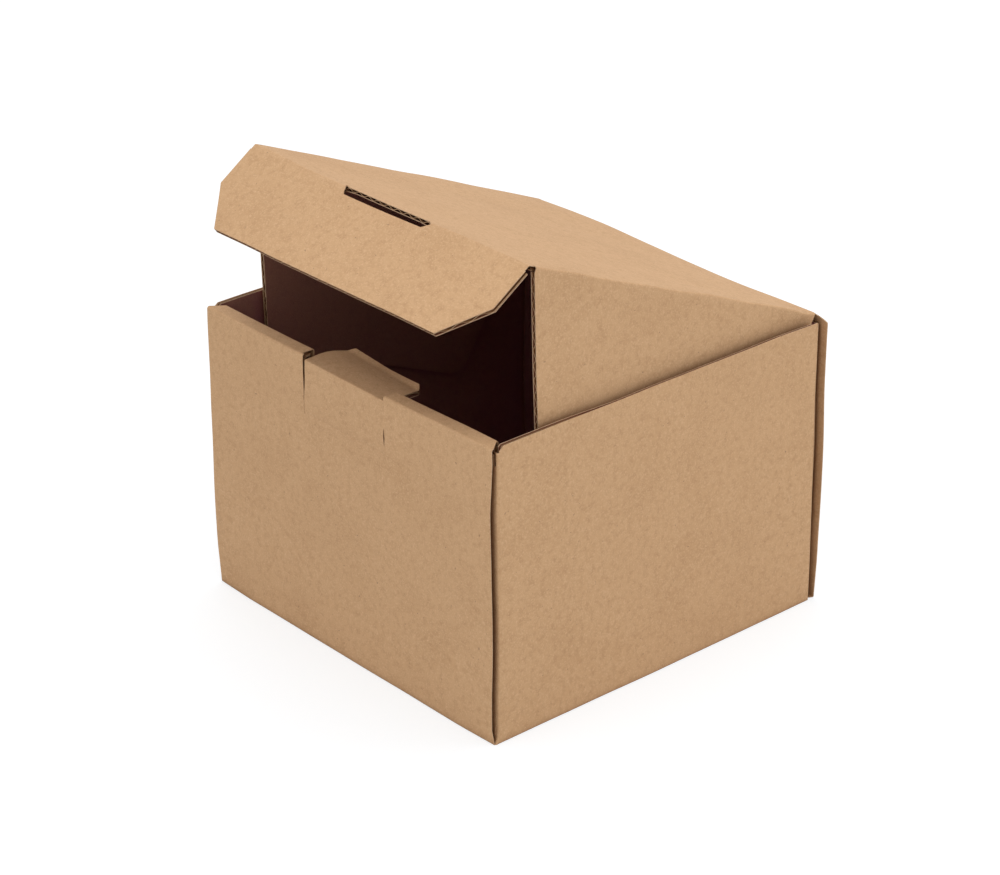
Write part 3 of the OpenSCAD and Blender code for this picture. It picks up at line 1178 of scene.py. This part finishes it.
# %% Front folds
front_fold_r = 1.1
point_run = 0.6
fold_end = flap_half_w - 0.4
front_line = [flap_fold - lid_along * flap_margin, flap_fold, flap_fold + flap_down * flap_margin]
front_arc = front_fold_r * math.tan(flap_down.angle(lid_along) / 2)
front_start = flap_fold - lid_along * front_arc
front_end = flap_fold + flap_down * front_arc
for name, x0, x1 in (("front_fold_right", slot_right_point, fold_end),
                     ("front_fold_left", -fold_end, slot_left)):
    bm = folded_paper(profile(front_line), [front_fold_r], x1 - x0, step=fold_cell)
    bmesh.ops.translate(bm, verts=bm.verts, vec=((x0 + x1) / 2, 0, 0))
    for v in bm.verts:
        run = (flap_fold - v.co).dot(lid_along)
        if run < 0:
            run = (flap_fold - v.co).dot(flap_down)
        if abs(v.co.x - slot_left) < 0.01:
            v.co.x += slot_left_slant * max(0, slot_back_left - run)
        elif abs(v.co.x - slot_right_point) < 0.01:
            v.co.x -= slot_right_slant * abs(run + point_run)
    across_waves(bm)
    fold_piece(name, bm, front_start, front_end)
print(f"front folds {fold_end - slot_right_point:.0f} and {fold_end + slot_left:.0f} mm long")

# %% [markdown]
# The side folds run the whole length of the lid. They are drawn along X like every folded paper and then
# turned to lie along the lid, the left one as a mirror image.

# %% Side folds
side_fold_r = 0.9
side_fold_back = 3.2
side_margin = 2.4


def lay_along(bm, origin, along, across):
    """Turns a folded paper from lying along X to lying along any line. Its profile starts at the origin."""
    x, y = along.normalized(), across.normalized()
    turn = Matrix((x, y, x.cross(y))).transposed()
    bm.transform(Matrix.Translation(origin) @ turn.to_4x4())


edge = Vector((lid_half_w, *lid_fold.yz))
side_start = edge + Vector((-side_fold_r, 0, 0))
side_end = edge - lid_up * side_fold_r
for name, other_side, body in (("side_fold_right", False, "side_flap_right"),
                               ("side_fold_left", True, "side_flap_left")):
    path = [(0, -side_flap_top), (0, 0), (-side_margin, 0)]
    bm = folded_paper(path, [side_fold_r], flap_front - side_fold_back, step=fold_cell)
    middle = Vector((lid_half_w, *(lid_fold + lid_along * (flap_front + side_fold_back) / 2).yz))
    lay_along(bm, middle, lid_along, Vector((1, 0, 0)))
    fold_piece(name, bm, side_start, side_end, other_side)
print(f"side folds {flap_front - side_fold_back:.0f} mm long")

# %% [markdown]
# The tongue's fold starts as a finely cut strip of unit half width. It is drawn out to the neck between the
# slits at one end and to the tongue's width at the other.

# %% Tongue fold
tongue_fold_r = 0.6
tongue_in = Vector((0, math.cos(tongue_dip), -math.sin(tongue_dip)))
down = Vector((0, 0, -1))
tongue_line = [tongue_fold + tongue_in * tongue_margin, tongue_fold, tongue_fold + down * tongue_margin]
bm = folded_paper(profile(tongue_line), [tongue_fold_r], 2, step=0.25)
for v in bm.verts:
    run = max(0, v.co.y - front_y)
    neck = tongue_neck[0 if v.co.x < 0 else 1]
    wide = tongue_outline[-1 if v.co.x < 0 else 0][0]
    v.co.x = abs(v.co.x) * (neck + (wide - neck) * min(1, run / tongue_margin))
    v.co.z -= curl_tongue(v.co.x, 0, 0)[2] - curl_tongue(v.co.x, run, 0)[2]
across_waves(bm)
tongue_arc = tongue_fold_r * math.tan(tongue_in.angle(-down) / 2)
tongue_start = tongue_fold + down * tongue_arc
tongue_end = tongue_fold + tongue_in * tongue_arc
fold_piece("tongue_fold", bm, tongue_start, tongue_end)
print("pieces with the folds:", len(made_pieces))

# %% [markdown]
# ## Standing in for the plan
# Every panel of the plan now has its papers, so none of the plain blocks is shown. Each is hidden, and the
# table names the piece that shows its panel.

# %% Pieces in place of the plan
stand_ins = {
    "tray": "front_floor_and_back",
    "lid": "lid_board",
    "front_flap": "front_flap_board",
    "side_flap_left": "side_flap_board_left",
    "side_flap_right": "side_flap_board_right",
    "lock_tongue": "lock_tongue_board",
}
for node, name in stand_ins.items():
    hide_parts(node)
print("solids replaced:", len(stand_ins))

# %% [markdown]
# ## Floor, light and camera
# The box stands on a plain white floor. To the camera the floor glows a little, so it looks as white as the
# photo's background and still keeps the soft shadow. To everything else it is ordinary pale paint.

# %% Floor
floor_reach = 6
shown_tone = (0.46, 0.48, 0.50, 1)
bounce_tone = (0.75, 0.75, 0.75, 1)
white = (1, 1, 1, 1)
floor_glow = 0.62

floor_mesh = bpy.data.meshes.new("floor")
bm = bmesh.new()
bmesh.ops.create_grid(bm, x_segments=1, y_segments=1, size=floor_reach)
bm.to_mesh(floor_mesh)
bm.free()
floor = bpy.data.objects.new("floor", floor_mesh)
bpy.context.scene.collection.objects.link(floor)

floor_paint = bpy.data.materials.new("white_floor_paint")
floor_paint.use_nodes = True
tree = floor_paint.node_tree
tree.nodes.clear()
output = add(tree, "ShaderNodeOutputMaterial")
path_kind = add(tree, "ShaderNodeLightPath")
shown = add(tree, "ShaderNodeBsdfDiffuse", {"Color": shown_tone})
glow = add(tree, "ShaderNodeEmission", {"Color": white, "Strength": floor_glow})
lit = add(tree, "ShaderNodeAddShader", (), {0: shown.outputs[0], 1: glow.outputs[0]})
bounce = add(tree, "ShaderNodeBsdfDiffuse", {"Color": bounce_tone})
links = {0: path_kind.outputs["Is Camera Ray"], 1: bounce.outputs[0], 2: lit.outputs[0]}
both = add(tree, "ShaderNodeMixShader", (), links)
tree.links.new(both.outputs[0], output.inputs["Surface"])
floor_mesh.materials.append(floor_paint)
print("floor:", 2 * floor_reach, "m square")

# %% [markdown]
# The studio's walls give an even light from all sides. The camera sees them pure white, while the box gets
# a little less of them, so that its corners and its inside keep their depth.

# %% World
wall_light = 0.64
scene = bpy.context.scene
world = bpy.data.worlds.new("studio")
scene.world = world
world.use_nodes = True
tree = world.node_tree
tree.nodes.clear()
output = add(tree, "ShaderNodeOutputWorld")
path_kind = add(tree, "ShaderNodeLightPath")
soft = add(tree, "ShaderNodeBackground", {"Color": white, "Strength": wall_light})
plain = add(tree, "ShaderNodeBackground", {"Color": white, "Strength": 1.0})
either = {0: path_kind.outputs["Is Camera Ray"], 1: path_kind.outputs["Is Glossy Ray"]}
seen = add(tree, "ShaderNodeMath", (), either, operation="MAXIMUM")
links = {0: seen.outputs[0], 1: soft.outputs[0], 2: plain.outputs[0]}
both = add(tree, "ShaderNodeMixShader", (), links)
tree.links.new(both.outputs[0], output.inputs["Surface"])
print("light from the walls:", wall_light)

# %% [markdown]
# Five large soft lamps stand round the box, all above it, so the lid shades the mouth and the inside stays
# dark. A row gives a lamp's direction from the box, its distance and side in metres, and its power in
# watts.

# %% Lights
lamp_centre = Vector((0, 0, 0.1))
lamps = [
    ("key_light", (0.58, -0.42, 0.7), 1.0, 0.6, 1.6),
    ("top_light", (-0.1, 0.25, 1), 2.2, 1.8, 11),
    ("right_light", (1, 1.2, 0.6), 0.8, 0.5, 0.75),
    ("front_light", (-0.4, -1, 0.8), 2.4, 1.5, 4.4),
    ("left_light", (-0.68, 0.09, 0.72), 2.4, 1.5, 3.6),
]
for name, towards, distance, side, power in lamps:
    lamp = bpy.data.lights.new(name, "AREA")
    lamp.shape = "SQUARE"
    lamp.size = side
    lamp.energy = power
    made = bpy.data.objects.new(name, lamp)
    direction = Vector(towards).normalized()
    made.location = lamp_centre + direction * distance
    made.rotation_euler = direction.to_track_quat("Z", "Y").to_euler()
    scene.collection.objects.link(made)
print("lamps:", [row[0] for row in lamps])

# %% [markdown]
# The camera looks down on the box's front right corner from where the photo was taken. Its place, lens and
# axes were found by fitting the box's corners to the photo.

# %% Camera
camera_data = bpy.data.cameras.new("camera")
camera_data.lens = 111.4
camera_data.sensor_width = 36
camera_data.clip_start = 0.01
camera = bpy.data.objects.new("camera", camera_data)
camera_place = Vector((0.96984, -0.84113, 0.70784))
right = Vector((0.65487347, 0.75567359, -0.00990714))
up = -Vector((0.32627829, -0.29453161, -0.89821691))
back = -Vector((-0.68167677, 0.58498594, -0.43944082))
turn = Matrix((right, up, back)).transposed().to_4x4()
camera.matrix_world = Matrix.Translation(camera_place) @ turn
scene.collection.objects.link(camera)
scene.camera = camera
scene.view_settings.view_transform = "Standard"
print(f"camera {camera_place.length:.2f} m from the box")
